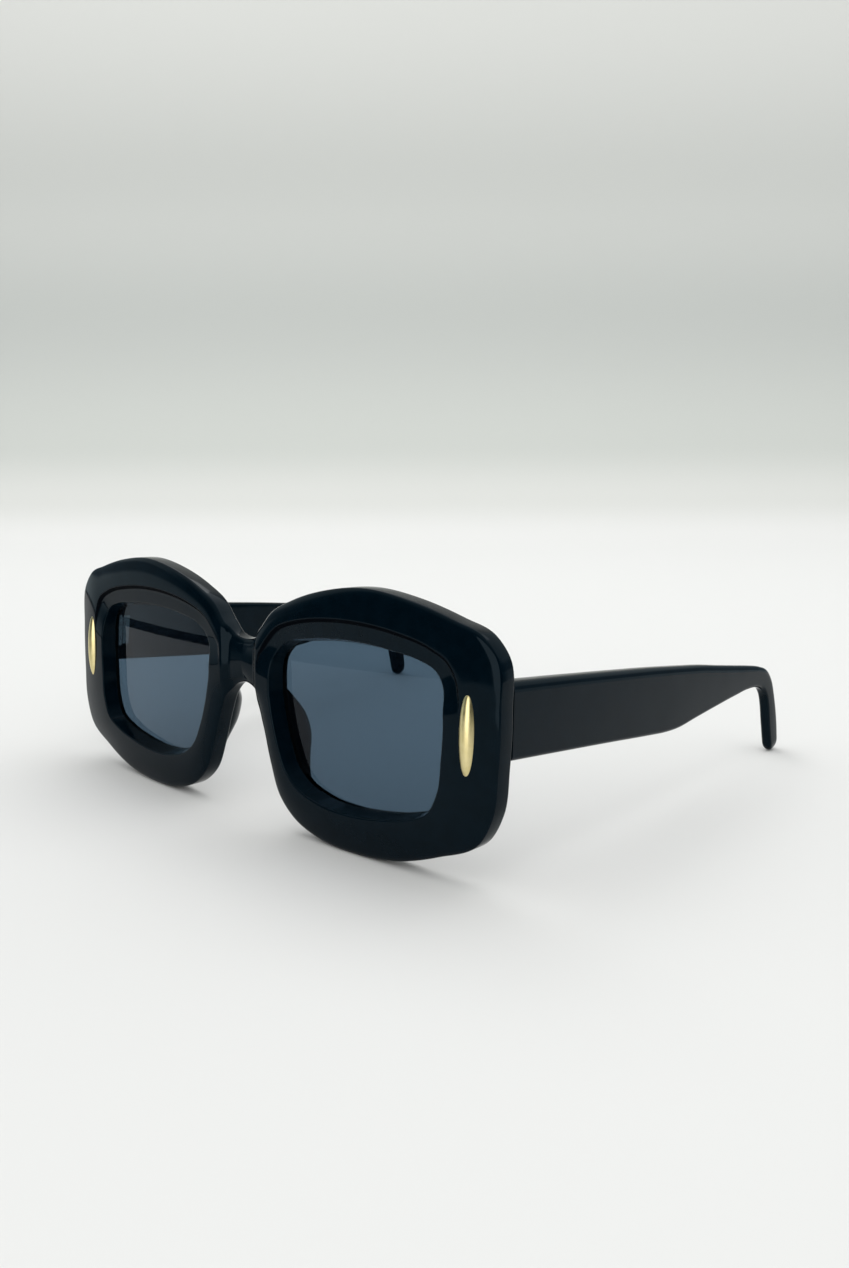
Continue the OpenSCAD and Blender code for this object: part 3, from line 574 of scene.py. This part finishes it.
# Inlays
# Pale gold spindles of plated brass, die-cast and tumbled to a satin shine, pressed into the front.
# Tumbled gold plate: a warm, broad shine with no clear mirror image.
gold, tree = material("gold_plated_brass")
spot = node(tree, "TexCoord").outputs["Object"]
rub = node(tree, "TexNoise", {"Vector": spot, "Scale": 1 / (1.5 * mm), "Detail": 2.0})
plate = ramp(tree, rub.outputs[0], [(0.3, linear("#DCCD95")), (0.7, linear("#E4D6A2"))])
satin = node(tree, "MapRange", {"Value": rub.outputs[0], "From Min": 0.3, "From Max": 0.7,
                                "To Min": 0.3, "To Max": 0.4})
metal = node(tree, "BsdfPrincipled", {
    "Base Color": plate.outputs["Color"], "Metallic": 1.0, "Roughness": satin.outputs[0]})
node(tree, "OutputMaterial", {"Surface": metal.outputs[0]})
for word in ("left", "right"):
    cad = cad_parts["inlay_" + word]
    cad.data.materials.clear()
    cad.data.materials.append(gold)
    cad.data.shade_smooth()

# Hinges
# Five-barrel hinges of nickel-plated steel. Their plates are let into the acetate, and a slotted
# screw is the pin.
pin_side, pin_back, plate_t, barrel_r, plate_past = 2.2, 2.6, 1.0, 1.6, 0.2
temple_t, temple_set, seat_gap = 4.4, 0.3, 0.04
pin_x = half_w - temple_set - temple_t - pin_side
pin_y = front_t + wrap(pin_x) + pin_back
pin_z = 0.048 * front_h
temple_tilt = 4.45
pin_v, plate_h, front_plate_w, temple_plate_l = 0.6, 7.8, 5.4, 7.0
front_plate_x = pin_x + barrel_r + plate_past - front_plate_w / 2
plate_turn = math.atan(2 * wrap_rate * front_plate_x)
plate_z = pin_z + pin_v + (pin_back + plate_t / 2) * math.sin(math.radians(temple_tilt))

# Drawn and plated steel: a soft grey shine, drawn out into fine lines.
steel, tree = material("nickel_plated_steel")
spot = node(tree, "TexCoord").outputs["Object"]
drawn = node(tree, "Mapping", {"Vector": spot, "Scale": (1.0, 1.0, 12.0)})
lines = node(tree, "TexNoise", {"Vector": drawn.outputs[0], "Scale": 1 / (1.2 * mm), "Detail": 4.0})
nickel = ramp(tree, lines.outputs[0], [(0.3, linear("#B4B4B0")), (0.7, linear("#CFCFCA"))])
brushed = node(tree, "MapRange", {"Value": lines.outputs[0], "From Min": 0.3, "From Max": 0.7,
                                  "To Min": 0.22, "To Max": 0.4})
metal = node(tree, "BsdfPrincipled", {
    "Base Color": nickel.outputs["Color"], "Metallic": 1.0, "Roughness": brushed.outputs[0]})
node(tree, "OutputMaterial", {"Surface": metal.outputs[0]})
for word in ("left", "right"):
    for name in ("front_hinge_", "temple_hinge_", "hinge_screw_", "temple_core_"):
        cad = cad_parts[name + word]
        cad.data.materials.clear()
        cad.data.materials.append(steel)
for side in (1, -1):
    turned = (front_spot @ Matrix.Scale(side, 4, (1, 0, 0))
              @ Matrix.Translation((front_plate_x, front_t + wrap(front_plate_x), plate_z))
              @ Matrix.Rotation(plate_turn, 4, "Z"))
    half = front_plate_w / 2 + seat_gap
    carved(front, (-half, -plate_t - seat_gap, -plate_h / 2 - seat_gap),
           (half, 1, plate_h / 2 + seat_gap), turned)

# Temples
# Wide flat arms of the same acetate, with a broad round on the upper outer edge. They step down to
# a slim end piece that bends down behind the ear, and a wire core keeps that bend.
temple_reach, temple_h, tip_t, butt_gap = 122.6, 15.6, 2.7, 0.25
drop = 19.224
arm_top_shares = [[0, 0.500], [0.12, 0.497], [0.285, 0.487], [0.424, 0.474], [0.489, 0.462],
                  [0.538, 0.452], [0.604, 0.436], [0.685, 0.397], [0.767, 0.359],
                  [0.832, 0.330], [0.881, 0.295], [0.918, 0.224], [0.943, 0.058]]
arm_low_shares = [[0, -0.497], [0.12, -0.503], [0.285, -0.513], [0.424, -0.526], [0.481, -0.526],
                  [0.526, -0.502], [0.595, -0.398], [0.681, -0.268], [0.763, -0.150],
                  [0.828, -0.068], [0.869, -0.056], [0.896, -0.103], [0.914, -0.218]]
drop_top_shares = [[0.962, -0.160], [0.980, -0.400], [0.993, -0.625], [1, -0.800]]
drop_low_shares = [[0.927, -0.330], [0.937, -0.525], [0.948, -0.725], [0.958, -0.900]]
tip_round_share = 0.15
bevel_x, bevel_z, soft_r, thick_share, high_share = 1.5, 2.3, 1.1, 0.4, 0.6
temple_face = pin_side + temple_t
temple_steps = 9
corner_steps = 8
tip_n = 9
temple_sharp_deg = 50
arm_size, drop_size = [temple_reach, temple_h], [temple_reach, drop]
top_edge, low_edge = (open_curve(np.vstack([np.array(arm) * arm_size, np.array(end) * drop_size]),
                                 temple_steps)
                      for arm, end in ((arm_top_shares, drop_top_shares),
                                       (arm_low_shares, drop_low_shares)))


def corner_line(x, z, rx, rz, start):
    """A quarter of an ellipse about (x, z)."""
    return [[x + rx * math.cos(a), z + rz * math.sin(a)]
            for a in np.radians(np.linspace(start, start + 90, corner_steps))]


def temple_profile(t, h):
    """The arm's section, t thick and 2 h high."""
    rx, rz, r = min(bevel_x, thick_share * t), min(bevel_z, high_share * h), min(soft_r, thick_share * t)
    return np.array(corner_line(-rx, h - rz, rx, rz, 0) + corner_line(r - t, h - r, r, r, 90)
                    + corner_line(r - t, r - h, r, r, 180) + corner_line(-r, r - h, r, r, 270))


def temple_rings():
    """The arm's sections from the butt end to the round tip, in the hinge's frame."""
    tilt = math.radians(temple_tilt)
    middle, half = (top_edge + low_edge) / 2, np.linalg.norm(top_edge - low_edge, axis=1) / 2
    up = (top_edge - low_edge) / (2 * half[:, None])
    rings = []
    for k in range(len(middle)):
        q = temple_profile(temple_t + (tip_t - temple_t) * min(middle[k][0] / temple_reach, 1), half[k])
        p = middle[k] + up[k] * q[:, 1:]
        if k == 0:
            p[:, 0] = ((front_t + wrap(pin_x + temple_face + q[:, 0]) + butt_gap - pin_y
                        - p[:, 1] * math.sin(tilt)) / math.cos(tilt))
        rings.append(np.c_[temple_face + q[:, 0], p])
    ahead = np.array([up[-1][1], -up[-1][0]])
    q = temple_profile(tip_t, half[-1])
    for a in np.radians(np.linspace(0, 90, tip_n + 1)[1:-1]):
        p = middle[-1] + ahead * tip_round_share * drop * math.sin(a) + up[-1] * q[:, 1:] * math.cos(a)
        rings.append(np.c_[temple_face - tip_t / 2 + (q[:, 0] + tip_t / 2) * math.cos(a), p])
    end = middle[-1] + ahead * tip_round_share * drop
    return rings, [temple_face - tip_t / 2, *end]


hinge_spot = (Matrix.Translation((pin_x, pin_y, pin_z))
              @ Matrix.Rotation(math.radians(-temple_tilt), 4, "X"))
rings, tip_end = temple_rings()
n, count = len(rings[0]), len(rings)
temple_faces = [[r * n + j, (r + 1) * n + j, (r + 1) * n + (j + 1) % n, r * n + (j + 1) % n]
                for r in range(count - 1) for j in range(n)]
temple_faces += [[(count - 1) * n + j, count * n, (count - 1) * n + (j + 1) % n] for j in range(n)]
temple_faces.append(list(range(n)))
temple_plate_x = temple_face - (temple_t + (tip_t - temple_t) * temple_plate_l / 2 / temple_reach)
for side, word, arm_body in ((1, "left", "left_arm"), (-1, "right", "right_arm")):
    turned = front_spot @ Matrix.Scale(side, 4, (1, 0, 0)) @ hinge_spot
    temple = piece("temple_" + word + "_acetate", placed(np.vstack(rings + [[tip_end]]), turned),
                   temple_faces, temple_sharp_deg)
    carved(temple, (temple_plate_x - 1, -barrel_r - seat_gap, pin_v - plate_h / 2 - seat_gap),
           (temple_plate_x + plate_t + seat_gap, temple_plate_l - barrel_r + seat_gap,
            pin_v + plate_h / 2 + seat_gap), turned)
    dress(temple, arm_body, "acetate", acetate, "temple_" + word)

low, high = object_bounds()
